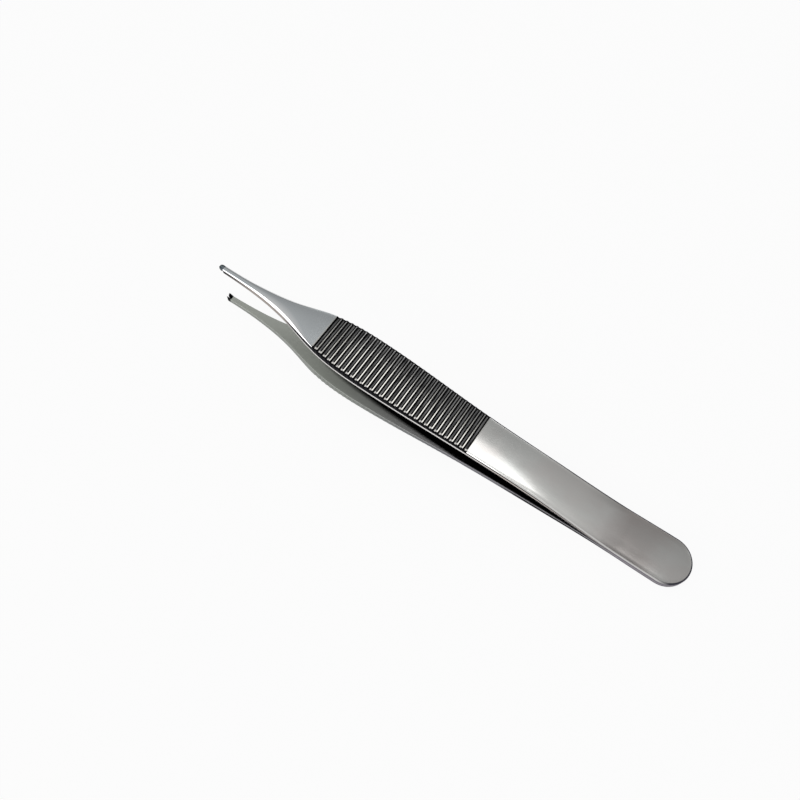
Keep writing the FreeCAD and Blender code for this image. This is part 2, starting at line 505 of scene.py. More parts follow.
class GrooveTree:
    """Geometry Nodes that mill the grip's grooves into a limb whose points know their station."""

    INPUTS = ("Start", "Pitch", "Count", "Crest width", "Depth", "Flank run", "Corner run", "Corner drop")
    LEAST_STEP = 0.0005

    def __init__(self) -> None:
        """Build the tree with its named inputs."""
        self.group = bpy.data.node_groups.new("milled grooves", "GeometryNodeTree")
        face = self.group.interface
        face.new_socket("Geometry", in_out="INPUT", socket_type="NodeSocketGeometry")
        for name in self.INPUTS:
            face.new_socket(name, in_out="INPUT", socket_type="NodeSocketFloat")
        face.new_socket("Material", in_out="INPUT", socket_type="NodeSocketMaterial")
        face.new_socket("Geometry", in_out="OUTPUT", socket_type="NodeSocketGeometry")
        self.build(Tree(self.group))

    def build(self, tree: Tree) -> None:
        """Add the nodes: each point moves to its milled place by its share of the groove's depth."""
        entry = tree.node("NodeGroupInput", {}, output="Geometry").socket.node
        size = {name: Value(tree, entry.outputs[name]) for name in (*self.INPUTS, "Material")}
        station = tree.node("GeometryNodeInputNamedAttribute", {"data_type": "FLOAT"}, "station")
        milled = tree.node("GeometryNodeInputNamedAttribute", {"data_type": "FLOAT_VECTOR"}, "milled")
        place = tree.node("GeometryNodeInputPosition", {})
        turns = (station - size["Start"]) / size["Pitch"]
        inside = turns.math("GREATER_THAN", 0.0) * turns.math("LESS_THAN", size["Count"])
        distance = (turns.math("FRACT") - 0.5).math("ABSOLUTE") * size["Pitch"]
        mouth = (size["Pitch"] - size["Crest width"]) / 2.0
        wall = mouth - size["Flank run"]
        upper_share = (size["Depth"] - size["Corner drop"]) / size["Depth"]
        corner = (wall - distance).math("DIVIDE", size["Corner run"], clamp=True)
        flank = (mouth - distance).math("DIVIDE", size["Flank run"], clamp=True)
        step = tree.node("ShaderNodeVectorMath", {"operation": "SUBTRACT"}, milled, place)
        depth = tree.node("ShaderNodeVectorMath", {"operation": "LENGTH"}, step, output="Value")
        reached = inside * depth.math("GREATER_THAN", self.LEAST_STEP)
        share = (flank * upper_share + corner * (1.0 - upper_share)) * reached
        offset = tree.node("ShaderNodeVectorMath", {"operation": "SCALE"}, step, Scale=share)
        store = {"data_type": "FLOAT", "domain": "POINT"}
        shape = Value(tree, entry.outputs["Geometry"])
        shape = tree.node("GeometryNodeStoreNamedAttribute", store, shape, Name="cut", Value=share)
        shape = tree.node("GeometryNodeSetPosition", {}, shape, Offset=offset)
        shape = tree.node("GeometryNodeRealizeInstances", {}, shape)
        shape = tree.node("GeometryNodeSetMaterial", {}, shape, Material=size["Material"])
        tree.node("NodeGroupOutput", {}, shape)

    def mill(self, blank: bpy.types.Object, sizes: LimbSizes, finish: bpy.types.Material) -> None:
        """Put the grooves on a limb and leave a plain mesh.

        Args:
            blank: The smooth limb with its attributes.
            sizes: The limb's sizes.
            finish: The material that the limb takes.
        """
        values = (
            sizes.handle_length,
            sizes.groove_pitch,
            float(sizes.groove_count),
            sizes.crest_width,
            sizes.groove_depth,
            sizes.groove_flank_run,
            sizes.groove_corner_run,
            sizes.groove_corner_drop,
            finish,
        )
        modifier = blank.modifiers.new("grooves", "NODES")
        modifier.node_group = self.group
        items = {item.name: item for item in self.group.interface.items_tree if item.in_out == "INPUT"}
        for name, value in zip((*self.INPUTS, "Material"), values):
            modifier[items[name].identifier] = value
        settle(blank)


def settle(piece: bpy.types.Object) -> None:
    """Turn a piece with its modifiers into a plain mesh.

    Args:
        piece: The object, whose modifiers are evaluated and removed.
    """
    bpy.context.view_layer.update()
    depsgraph = bpy.context.evaluated_depsgraph_get()
    mesh = bpy.data.meshes.new_from_object(piece.evaluated_get(depsgraph))
    old = piece.data
    piece.modifiers.clear()
    piece.data = mesh
    bpy.data.meshes.remove(old)


def mesh_object(name: str, places: np.ndarray, faces: list[tuple[int, ...]]) -> bpy.types.Object:
    """Make an object from points and faces.

    Args:
        name: Name of the object and its mesh.
        places: Points, one a row.
        faces: Indices of each face's points.

    Returns:
        The object, linked to the scene.
    """
    mesh = bpy.data.meshes.new(name)
    mesh.from_pydata(places.tolist(), [], faces)
    mesh.validate()
    piece = bpy.data.objects.new(name, mesh)
    bpy.context.scene.collection.objects.link(piece)
    return piece


def prism(
    name: str, outline: list[tuple[float, float, float]], along: tuple[float, float, float]
) -> bpy.types.Object:
    """Make a closed prism for a cut.

    Args:
        name: Name of the object.
        outline: Corners of its flat face.
        along: From that face to the opposite one.

    Returns:
        The object, with its faces outward.
    """
    base = np.array(outline, float)
    count = len(base)
    places = np.concatenate([base, base + np.array(along)])
    faces = [tuple(range(count)), tuple(range(2 * count - 1, count - 1, -1))]
    faces += [(i, i + count, (i + 1) % count + count, (i + 1) % count) for i in range(count)]
    piece = mesh_object(name, places, faces)
    body = bmesh.new()
    body.from_mesh(piece.data)
    bmesh.ops.recalc_face_normals(body, faces=body.faces)
    body.to_mesh(piece.data)
    body.free()
    return piece


def carve(piece: bpy.types.Object, tool: bpy.types.Object, operation: str) -> None:
    """Cut, join or trim a piece with a tool, which is used up.

    Args:
        piece: The piece.
        tool: The other solid.
        operation: DIFFERENCE, UNION or INTERSECT.
    """
    modifier = piece.modifiers.new(tool.name, "BOOLEAN")
    modifier.object = tool
    modifier.operation = operation
    modifier.solver = "EXACT"
    settle(piece)
    bpy.data.objects.remove(tool)


@dataclass(frozen=True)
class SteelFinish:
    """Satin stainless steel with the marks of grinding and milling, and with painted highlights and painted
    shade on each part of a limb.
    """

    name: str
    # Side walls darker than the faces as painted shade, and how much of the painted wall highlights a limb
    # takes
    wall_colour: Colour
    front_wall_colour: Colour
    wall_line: float
    wall_dullness: float
    fork_length: float
    fork_height: float
    face_colour: Colour = (0.74, 0.75, 0.73)
    worn_colour: Colour = (0.68, 0.655, 0.635)
    # Painted highlight on the handle, strongest on its near side
    rubbed_colour: Colour = (0.93, 0.93, 0.9)
    # Painted shade at the heel, with the face's blotchy worn tone
    heel_colour: Colour = (0.455, 0.445, 0.43)
    worn_heel_colour: Colour = (0.42, 0.385, 0.37)
    # Painted shade that hides a highlight on the heel's near side
    held_colour: Colour = (0.3, 0.285, 0.275)
    # Painted highlight on the handle's near chamfer, and painted shade on the far and heel-end rim
    chamfer_colour: Colour = (0.85, 0.84, 0.82)
    rim_colour: Colour = (0.06, 0.06, 0.075)
    # Crest lines, dimmed on the far side as painted shade, and a painted highlight where they hook at their
    # near ends
    crest_colour: Colour = (0.66, 0.65, 0.61)
    hook_colour: Colour = (0.9, 0.88, 0.84)
    dim_crest_colour: Colour = (0.46, 0.46, 0.46)
    # Painted shade in the grooves: black flanks and dark floors, with the cutter's streaks
    flank_colour: Colour = (0.008, 0.008, 0.009)
    groove_colour: Colour = (0.04, 0.04, 0.042)
    groove_streak_colour: Colour = (0.18, 0.18, 0.18)
    nose_colour: Colour = (0.62, 0.655, 0.67)
    # Painted highlight on the nose's bevels and beside them, and painted shade as a dark line along their
    # border
    nose_bevel_colour: Colour = (0.95, 0.95, 0.95)
    nose_lip_colour: Colour = (0.32, 0.35, 0.37)
    # Painted light on the side walls: a painted highlight at the upper limb's neck, painted shade on the
    # rest, and a painted highlight line along the lower part of the upper limb's wall
    neck_wall_colour: Colour = (0.5, 0.45, 0.42)
    shadowed_wall_colour: Colour = (0.02, 0.02, 0.024)
    heel_wall_colour: Colour = (0.24, 0.22, 0.25)
    wall_line_colour: Colour = (0.95, 0.93, 0.91)
    handle_line_colour: Colour = (0.66, 0.6, 0.56)
    # Painted shade on the inner face: a little darker towards the grip's rear and black under the other limb
    inner_front_colour: Colour = (0.45, 0.47, 0.43)
    inner_back_colour: Colour = (0.36, 0.35, 0.37)
    inner_depth_colour: Colour = (0.008, 0.008, 0.009)
    tip_colour: Colour = (0.2, 0.24, 0.26)
    tip_wall_colour: Colour = (0.045, 0.054, 0.062)
    # Painted shade: the teeth are black
    tooth_colour: Colour = (0.008, 0.008, 0.009)

    # How rough and how metallic each part is
    face_roughness: float = 0.1
    groove_roughness: float = 0.32
    wall_roughness: float = 0.4
    mottled_roughness: float = 0.06
    streaked_roughness: float = 0.1
    cut_span: Span = (0.1, 0.5)
    inner_metal: float = 0.3
    far_bevel_dullness: float = 0.5
    edge_tint: float = 0.5
    grain_strength: float = 0.06
    grain_height: float = 0.00001
    streak_height: float = 2.0

    # Unevenness, as waves per metre and as shares of the noise
    mottle_scale: Waves = (260.0, 420.0, 420.0)
    blotch_scale: Waves = (70.0, 130.0, 130.0)
    streak_scale: Waves = (3200.0, 260.0, 3200.0)
    grain_scale: Waves = (900.0, 9000.0, 9000.0)
    blotch_span: Span = (0.42, 0.62)
    mottle_span: Span = (0.4, 0.7)
    streak_span: Span = (0.35, 0.65)
    blotch_share: float = 0.75

    # Softness of the masks, in mm
    mask_softness: float = 0.05
    face_softness: float = 0.04
    line_softness: float = 0.03
    wall_depth: Span = (0.05, 0.02)
    far_start: Span = (0.0, 0.2)
    near_shares: Span = (-0.3, -0.85)
    dim_shares: Span = (0.1, 0.8)

    # Painted highlight on the handle and painted shade at the heel, in mm past the weld's end
    rubbed_start: Span = (6.0, 13.0)
    rubbed_end: Span = (30.0, 22.0)
    rubbed_far_share: float = 0.3
    heel_span: Span = (6.0, 1.0)
    heel_end_span: Span = (-4.0, -9.0)
    heel_end_shine: float = 0.3
    heel_near_share: float = 0.3
    held_start: Span = (-7.0, -3.0)
    held_end: Span = (5.0, 1.0)
    far_band_shares: Span = (0.25, 0.45)
    far_band_end: Span = (12.0, 4.0)
    far_band_share: float = 0.9
    rounded_end: Span = (0.0, -2.5)
    heel_wall_span: Span = (8.0, 0.0)
    low_line_span: Span = (24.0, 12.0)
    low_line_rise: float = 0.3

    # Handle's front end, in mm before the grip, with its painted wall shade and highlight line, and the
    # grip's lines and painted hooked highlights
    shadow_span: Span = (-8.0, -14.0)
    handle_line_span: Span = (2.0, -8.0)
    crest_line: float = 0.1
    floor_start: float = 0.42
    floor_softness: float = 0.07
    groove_end: float = 0.38
    hook_width: float = 0.42
    hook_turn: float = 0.52
    hook_softness: float = 0.04

    # Painted shade on the inner face and side walls, and the painted highlight line low on the wall
    front_start: float = 4.0
    front_end: float = -8.0
    inner_front_end: float = -6.0
    opening_start: float = 1.0
    opening_end: float = 6.0
    lit_depth: float = 3.0
    lit_softness: float = 1.4
    least_softness: float = 0.3
    wall_line_top: Span = (0.8, 0.72)
    wall_line_foot: Span = (0.2, 0.26)

    # Painted highlights and shade on the nose, in mm past the grip or the tip, and as shares of the bevel
    nose_start: Span = (0.0, 0.3)
    narrow_span: Span = (13.0, 21.0)
    glow_start: Span = (0.0, 4.0)
    glow_shares: Span = (4.0, 1.0)
    glow_strength: float = 0.7
    lip_shares: Span = (1.25, 1.1)
    near_bevel_share: float = 1.3
    near_bevel_loss: float = 0.74
    near_bevel_shares: Span = (1.08, 0.9)
    far_bevel_shares: Span = (0.95, 0.8)
    chamfer_shares: Span = (0.85, 0.7)
    rim_shares: Span = (1.3, 1.15)
    cap_shares: Span = (1.4, 1.1)
    neck_start: Span = (6.0, 10.0)
    neck_end: Span = (-1.0, -10.0)
    line_end: Span = (12.0, 5.0)
    cap_span: Span = (-1.45, -1.15)
    fork_softness: float = 0.08

    def build(self, sizes: LimbSizes) -> bpy.types.Material:
        """Make the material.

        Args:
            sizes: The limb's sizes, which place the zones.

        Returns:
            The material.
        """
        material = bpy.data.materials.new(self.name)
        material.use_nodes = True
        tree = Tree(material.node_tree)
        zone = self.zones(tree, sizes)
        place = tree.node("ShaderNodeTexCoord", {}, output="Object")
        mottle = tree.noise(place, self.mottle_scale, 3.0)
        blotch = tree.noise(place, self.blotch_scale, 2.0)
        streak = tree.noise(place, self.streak_scale, 2.0)
        grain = tree.noise(place, self.grain_scale, 2.0)
        colour = self.ground(tree, zone, mottle, blotch, sizes)
        colour = self.bevelled(tree, zone, colour, sizes)
        colour = self.milled(tree, zone, colour, streak)
        colour = self.sides(tree, zone, colour, sizes)
        height = grain + streak * zone["cut"] * self.streak_height
        bump = tree.node("ShaderNodeBump", {}, self.grain_strength, self.grain_height, Height=height)
        dull = zone["inner"] * (1.0 - zone["depth"]) + zone["wall"] * zone["front"] * self.wall_dullness
        far_bevel = zone["bevel share"].over(self.far_bevel_shares) * zone["far"] * zone["nose"]
        dull = (dull + far_bevel * self.far_bevel_dullness).clamped() * (1.0 - zone["fork"])
        dull = dull.math("MAXIMUM", zone["hook"])
        shader = tree.node(
            "ShaderNodeBsdfPrincipled",
            {},
            Base_Color=colour,
            Metallic=1.0 - dull * (1.0 - self.inner_metal),
            Roughness=self.roughness(zone, mottle, streak),
            Normal=bump,
            Specular_Tint=(self.edge_tint, self.edge_tint, self.edge_tint),
        )
        tree.node("ShaderNodeOutputMaterial", {}, shader)
        return material

    def zones(self, tree: Tree, sizes: LimbSizes) -> dict[str, Value]:
        """Measures that the limb keeps on its points, in mm, and the masks that follow from them.

        Args:
            tree: The material's tree.
            sizes: The limb's sizes.

        Returns:
            The values by name; a mask is 1 inside its zone.
        """
        zone = {name: tree.attribute(name) for name in (*Limb.ZONES, "cut")}
        station = zone["station"]
        half_grip = sizes.belly_width / 2
        zone["near"] = zone["across"].ramp(*(share * half_grip for share in self.near_shares))
        zone["far"] = zone["across"].over(self.far_start)
        zone["dim"] = zone["across"].ramp(*(share * half_grip for share in self.dim_shares))
        zone["bevel share"] = zone["edge"] / zone["bevel"]
        rear, front, soft = sizes.handle_length, sizes.grip_front, self.mask_softness
        zone["nose"] = station.over(self.nose_start, front)
        zone["front"] = station.ramp(rear + self.front_start, front + self.front_end)
        zone["grip"] = station.ramp(rear, rear + soft) * station.ramp(front, front - soft)
        zone["inner"] = zone["rise"].ramp(sizes.inner_bevel + self.face_softness, sizes.inner_bevel)
        below_bevel = (zone["drop"] - zone["bevel"]).ramp(-self.face_softness, 0.0)
        zone["wall"] = zone["edge"].over(self.wall_depth) * below_bevel * (1.0 - zone["inner"])
        # Painted shade under the other limb: past a lit strip along the edge, which widens towards the tips,
        # the inner face goes dark
        opening = station.ramp(rear + self.opening_start, front + self.opening_end)
        softness = opening * self.lit_softness + self.least_softness
        zone["depth"] = ((zone["edge"] - opening * self.lit_depth) / softness).clamped()
        start = sizes.total_length - self.fork_length
        zone["fork"] = station.ramp(start, start + self.fork_softness)
        zone["fork"] = zone["fork"] * zone["rise"].ramp(self.fork_height + soft, self.fork_height)
        zone["turn"] = ((station - sizes.handle_length) / sizes.groove_pitch).math("FRACT")
        from_middle = (zone["turn"] - 0.5).math("ABSOLUTE")
        zone["crest"] = (0.5 - from_middle) * sizes.groove_pitch
        hook_end = self.groove_end + self.hook_width
        thin = self.line_softness
        zone["inside"] = zone["edge"].ramp(self.groove_end - thin, self.groove_end + thin) * zone["grip"]
        # Mask of the painted highlight where each crest line hooks at its near end
        hook = zone["turn"].ramp(self.hook_turn + self.hook_softness, self.hook_turn)
        hook = hook * zone["edge"].ramp(hook_end + thin, hook_end - thin)
        zone["hook"] = hook * zone["inside"] * (1.0 - zone["far"])
        return zone

    def ground(
        self, tree: Tree, zone: dict[str, Value], mottle: Value, blotch: Value, sizes: LimbSizes
    ) -> Value:
        """Colour of the ground outer face, with a painted highlight on the handle's near side and painted
        shade at the heel.

        Args:
            tree: The material's tree.
            zone: Where each point lies on the limb.
            mottle: Fine unevenness of the ground face.
            blotch: Wide unevenness of the ground face.
            sizes: The limb's sizes.

        Returns:
            The colour.
        """
        station, near = zone["station"], zone["near"]
        fine = mottle.over(self.mottle_span) * (1.0 - self.blotch_share)
        worn = blotch.over(self.blotch_span) * self.blotch_share + fine
        colour = tree.blend(worn, self.face_colour, self.worn_colour)
        colour = tree.blend(zone["nose"], colour, self.nose_colour)
        weld = sizes.weld_length
        # Painted highlight: a band of the handle past the weld is brightened, most on its near side
        handle_highlight = station.over(self.rubbed_start, weld) * station.over(self.rubbed_end, weld)
        handle_highlight = handle_highlight * (near * (1.0 - self.rubbed_far_share) + self.rubbed_far_share)
        colour = tree.blend(handle_highlight, colour, self.rubbed_colour)
        # Painted shade at the heel, where the overhead lamp's reflection is taken out: most on the near
        # side, less at the very end, and as a band along the far edge
        heel_end = station.over(self.heel_end_span, weld) * self.heel_end_shine
        dull = station.over(self.heel_span, weld) * (1.0 - heel_end)
        dull = dull * (near * self.heel_near_share + (1.0 - self.heel_near_share))
        far_band = zone["across"].ramp(*(share * sizes.heel_width for share in self.far_band_shares))
        far_band = far_band * station.over(self.far_band_end, weld) * self.far_band_share
        dull = dull.math("MAXIMUM", far_band)
        heel = tree.blend(worn, self.heel_colour, self.worn_heel_colour)
        colour = tree.blend(dull, colour, heel)
        # Painted shade over a highlight on the near side around the weld's end
        near_heel_shade = station.over(self.held_end, weld) * station.over(self.held_start, weld)
        return tree.blend(near_heel_shade * near, colour, self.held_colour)

    def bevelled(self, tree: Tree, zone: dict[str, Value], colour: Value, sizes: LimbSizes) -> Value:
        """Colour with the bevels round the outer face: painted highlights on the nose's bevels and the
        handle's near chamfer, and painted shade on the nose's lip and on the far and heel-end rim.

        Args:
            tree: The material's tree.
            zone: Where each point lies on the limb.
            colour: Colour of the ground face.
            sizes: The limb's sizes.

        Returns:
            The colour.
        """
        share, nose, far = zone["bevel share"], zone["nose"], zone["far"]
        station, front = zone["station"], sizes.grip_front
        # Painted highlight: the nose's bevels are whitened on top of the near lamp's reflection, and the
        # face beside the near one glows lighter; the bevels' border gets a dark line of painted shade
        narrow = station.over(self.narrow_span, front)
        glow = share.over(self.glow_shares) * (1.0 - narrow) * station.over(self.glow_start, front)
        glow = glow * (1.0 - far) * nose * self.glow_strength
        colour = tree.blend(glow, colour, self.nose_bevel_colour)
        lip = share.over(self.lip_shares) * nose * (narrow + far).clamped()
        colour = tree.blend(lip, colour, self.nose_lip_colour)
        near_bevel = share / (self.near_bevel_share - narrow * self.near_bevel_loss)
        near_bevel = near_bevel.over(self.near_bevel_shares)
        bevel = near_bevel * (1.0 - far) + share.over(self.far_bevel_shares) * far
        colour = tree.blend(bevel * nose, colour, self.nose_bevel_colour)
        # Painted shade as a dark rim on the far bevel and round the heel's end, and a painted highlight on
        # the handle's near chamfer
        rounded_end = station.over(self.rounded_end, sizes.heel_radius)
        rim = (far + rounded_end).clamped() * (1.0 - nose)
        chamfer = share.over(self.chamfer_shares) * (1.0 - nose) * (1.0 - far)
        colour = tree.blend(chamfer, colour, self.chamfer_colour)
        return tree.blend(share.over(self.rim_shares) * rim, colour, self.rim_colour)

    def milled(self, tree: Tree, zone: dict[str, Value], colour: Value, streak: Value) -> Value:
        """Colour of the grip: black flanks and dark floors as painted shade, with the cutter's streaks, the
        bright crest lines, dimmer on the far side as painted shade, and their hooked near ends as a painted
        highlight.

        Args:
            tree: The material's tree.
            zone: Where each point lies on the limb.
            colour: Colour of the ground face.
            streak: Marks of the cutter along each groove.

        Returns:
            The colour.
        """
        inside, crest = zone["inside"], zone["crest"]
        # Painted shade: the grip is painted black and its floors dark, and the crest lines and the painted
        # highlight at their hooks go on top
        colour = tree.blend(zone["grip"], colour, self.flank_colour)
        floor = tree.blend(streak.over(self.streak_span), self.groove_colour, self.groove_streak_colour)
        on_floor = crest.ramp(self.floor_start, self.floor_start + self.floor_softness)
        colour = tree.blend(inside * on_floor, colour, floor)
        line = crest.ramp(self.crest_line + self.line_softness, self.crest_line - self.line_softness)
        crest_colour = tree.blend(zone["dim"], self.crest_colour, self.dim_crest_colour)
        colour = tree.blend(inside * line, colour, crest_colour)
        return tree.blend(zone["hook"], colour, self.hook_colour)

    def sides(self, tree: Tree, zone: dict[str, Value], colour: Value, sizes: LimbSizes) -> Value:
        """Colour with the inner face, the side walls, the tip and the teeth, with painted shade between the
        limbs, on the walls and on the teeth, and painted highlights on the upper limb's walls.

        Args:
            tree: The material's tree.
            zone: Where each point lies on the limb.
            colour: Colour of the outer face.
            sizes: The limb's sizes.

        Returns:
            The colour.
        """
        station, rise = zone["station"], zone["rise"]
        rear, front, end = sizes.handle_length, sizes.grip_front, sizes.total_length
        # Painted shade on the inner face: darker towards the grip's rear and black under the other limb
        inner_share = station.ramp(front + self.inner_front_end, rear)
        inner = tree.blend(inner_share, self.inner_front_colour, self.inner_back_colour)
        inner = tree.blend(zone["depth"], inner, self.inner_depth_colour)
        colour = tree.blend(zone["inner"], colour, inner)
        # Painted shade on the side walls, near black along the handle, with a painted highlight at the upper
        # limb's neck
        heel_share = station.over(self.heel_wall_span, sizes.weld_length)
        shadowed = station.over(self.shadow_span, rear)
        wall = tree.blend(shadowed, self.wall_colour, self.shadowed_wall_colour)
        wall = tree.blend(zone["front"], wall, self.front_wall_colour)
        wall = tree.blend(heel_share, wall, self.heel_wall_colour)
        neck = station.over(self.neck_start, front) * station.over(self.neck_end, end)
        wall = tree.blend(neck * self.wall_line, wall, self.neck_wall_colour)
        colour = tree.blend(zone["wall"], colour, wall)
        # Painted highlight: a bright line along the lower part of the upper limb's wall
        low = rise - station.over(self.low_line_span, sizes.weld_length) * self.low_line_rise
        line = rise.over(self.wall_line_top) * low.over(self.wall_line_foot)
        line = line * (1.0 - heel_share) * self.wall_line * station.over(self.line_end, front)
        on_handle = station.over(self.handle_line_span, rear)
        line_colour = tree.blend(on_handle, self.wall_line_colour, self.handle_line_colour)
        colour = tree.blend(zone["wall"] * line, colour, line_colour)
        tip = station.over(self.cap_span, end)
        cap_rim = zone["bevel share"].over(self.cap_shares).math("MAXIMUM", zone["wall"])
        cap = tree.blend(cap_rim, self.tip_colour, self.tip_wall_colour)
        colour = tree.blend(tip, colour, cap)
        # Painted shade: the teeth, and on the lower limb the whole tip end, are painted black
        return tree.blend(zone["fork"], colour, self.tooth_colour)

    def roughness(self, zone: dict[str, Value], mottle: Value, streak: Value) -> Value:
        """Roughness of the steel over the whole limb.

        Args:
            zone: Where each point lies on the limb.
            mottle: Fine unevenness of the ground face.
            streak: Marks of the cutter along each groove.

        Returns:
            The roughness.
        """
        face = mottle * self.mottled_roughness + (self.face_roughness - self.mottled_roughness / 2)
        milled = zone["cut"].over(self.cut_span) * (self.groove_roughness - self.face_roughness)
        rough = (zone["wall"] + zone["inner"]).clamped() * (self.wall_roughness - self.face_roughness)
        return face + milled + streak * zone["cut"] * self.streaked_roughness + rough


# The upper limb's walls are painted near black as a painted dark reflection, and the lower limb's are a
# painted grey shade
UPPER_FINISH = SteelFinish(
    "satin steel, upper limb",
    wall_colour=(0.02, 0.02, 0.024),
    front_wall_colour=(0.02, 0.02, 0.024),
    wall_line=1.0,
    wall_dullness=0.0,
    fork_length=1.35,
    fork_height=-0.05,
)
LOWER_FINISH = SteelFinish(
    "satin steel, lower limb",
    wall_colour=(0.24, 0.24, 0.26),
    front_wall_colour=(0.3, 0.315, 0.29),
    wall_line=0.0,
    wall_dullness=1.0,
    fork_length=1.3,
    fork_height=4.0,
)


@dataclass
class Limb:
    """One limb: the lofted blank, its milled grip, and the teeth at its tip."""

    ZONES = ("station", "across", "edge", "drop", "rise", "bevel")

    side: Side
    sizes: LimbSizes
    face_points: int = 7
    corner_points: int = 5
    wall_shares: tuple[float, ...] = (0.05, 0.3, 0.6, 0.88)
    handle_rows: int = 64
    nose_rows: int = 84
    heel_rows: int = 28
    tip_rows: int = 18
    groove_lip: float = 0.08
    handle_softness: float = 0.28
    nose_softness: float = 0.16
    softness_run: float = 2.0

    @property
    def name(self) -> str:
        """Name of the finished piece."""
        return f"milled_{self.side.name.lower()}_limb"

    @property
    def node(self) -> str:
        """Name of the node that the piece stands for."""
        return f"{self.side.name.lower()}_limb"

    def side_stations(self) -> np.ndarray:
        """Stations of the rows along a long edge, denser where the grooves turn.

        Returns:
            The stations, heel first.
        """
        z = self.sizes
        mouth = (z.groove_pitch - z.crest_width) / 2
        wall = mouth - z.groove_flank_run
        floor = wall - z.groove_corner_run
        ease = 0.018
        marks = (floor / 2, floor - ease, floor + ease, wall - ease, wall + ease, mouth - ease, mouth + ease)
        half = np.array([*marks, (mouth + z.groove_pitch / 2) / 2])
        centres = z.handle_length + (np.arange(z.groove_count) + 0.5) * z.groove_pitch
        grip = (centres[:, None] + np.concatenate([-half, [0.0], half])).ravel()
        crests = z.handle_length + np.arange(1, z.groove_count) * z.groove_pitch
        handle = np.linspace(z.heel_radius, z.handle_length, self.handle_rows)
        nose = np.linspace(z.grip_front, z.round_tip_station, self.nose_rows)
        return np.sort(np.concatenate([handle, grip, crests, nose]))

    def rows(self) -> tuple[np.ndarray, np.ndarray]:
        """Centre and edge of every row, going round the limb.

        Returns:
            Points on the middle line and on the edge, each as station and distance across.
        """
        z = self.sizes
        along = self.side_stations()
        spine = np.stack([along, np.zeros_like(along)], 1)
        reach = z.half_width(along)
        near = np.stack([along, -reach], 1)
        far = np.stack([along, reach], 1)
        turn = np.linspace(0, np.pi, self.tip_rows + 2)[1:-1]
        tip = np.stack([z.round_tip_station + z.tip_radius * np.sin(turn), -z.tip_radius * np.cos(turn)], 1)
        back = np.linspace(0, np.pi, self.heel_rows + 2)[1:-1]
        heel = np.stack([z.heel_radius - z.heel_radius * np.sin(back), z.heel_radius * np.cos(back)], 1)
        tip_spine = np.tile([z.round_tip_station, 0.0], (len(tip), 1))
        heel_spine = np.tile([z.heel_radius, 0.0], (len(heel), 1))
        centres = np.concatenate([spine, tip_spine, spine[::-1], heel_spine])
        edges = np.concatenate([near, tip, far[::-1], heel])
        return centres, edges

    def profile(self, reach: np.ndarray, station: np.ndarray, milled: bool) -> tuple[np.ndarray, ...]:
        """Half section of each row, from the middle of the outer face round to the inner one's.

        Args:
            reach: Distance from the row's centre to its edge.
            station: Station of the row's edge.
            milled: Whether the outer face lies at the bottom of a groove.

        Returns:
            Distances from the centre, drops below the outer face and rises above the inner face,
            one row a row, and for each point whether it is measured from the inner face (share 1).
        """
        z = self.sizes
        bevel = z.outer_bevel_at(station)[:, None]
        inner = z.inner_bevel
        reach = reach[:, None]
        nose = np.clip((station - z.grip_front) / self.softness_run, 0, 1)[:, None]
        softness = self.handle_softness + (self.nose_softness - self.handle_softness) * nose
        soft = softness * bevel * math.sqrt(2)
        slant = soft / math.sqrt(2)
        u = np.linspace(0, 1, self.corner_points)
        first, middle, last = (1 - u) ** 2, 2 * u * (1 - u), u**2
        face = np.linspace(0, 1, self.face_points, endpoint=False)
        face_run = (reach - bevel - soft) * face
        upper_run = reach - bevel - soft * first + slant * last
        upper_drop = slant * last
        lower_run = reach - slant * first
        lower_drop = bevel - slant * first + soft * last
        run = [face_run, upper_run, lower_run]
        drop = [face_run * 0, upper_drop, lower_drop]
        crown = z.face_crown * (np.concatenate([face_run, upper_run], 1) / reach) ** 2
        if milled:
            corner = 2 * self.corner_points
            share = np.minimum(np.arange(corner) / (corner - 3), 1.0)
            start = reach - bevel - soft
            flat = start + (reach - self.groove_lip - start) * share
            deep = np.full_like(flat, z.groove_depth)
            flat[:, -2:] = reach - self.groove_lip * np.array([0.3, 0.0])
            deep[:, -2:] += self.groove_lip * np.array([0.3, 1.0])
            run = [face_run, flat]
            drop = [face_run * 0 + z.groove_depth, deep]
        else:
            drop[0] = crown[:, : self.face_points]
            drop[1] = upper_drop + crown[:, self.face_points :] * first
        run = np.concatenate(run, 1)
        drop = np.concatenate(drop, 1)
        wall = np.array(self.wall_shares)
        inner_run = reach - inner * last
        inner_rise = inner * first
        rest = np.linspace(1, 0, self.face_points)[1:]
        floor_run = (reach - inner) * rest
        count = len(station)
        wall_run = np.broadcast_to(reach, (count, len(wall)))
        runs = np.concatenate([run, wall_run, np.broadcast_to(inner_run, (count, len(u))), floor_run], 1)
        drops = np.concatenate([drop, np.zeros((count, len(wall) + len(u) + len(rest)))], 1)
        rises = np.zeros_like(drops)
        first_inner = run.shape[1] + len(wall)
        rises[:, first_inner : first_inner + len(u)] = inner_rise
        shares = np.zeros(drops.shape[1])
        shares[run.shape[1] : first_inner] = wall
        shares[first_inner:] = 1.0
        return runs, drops, rises, shares

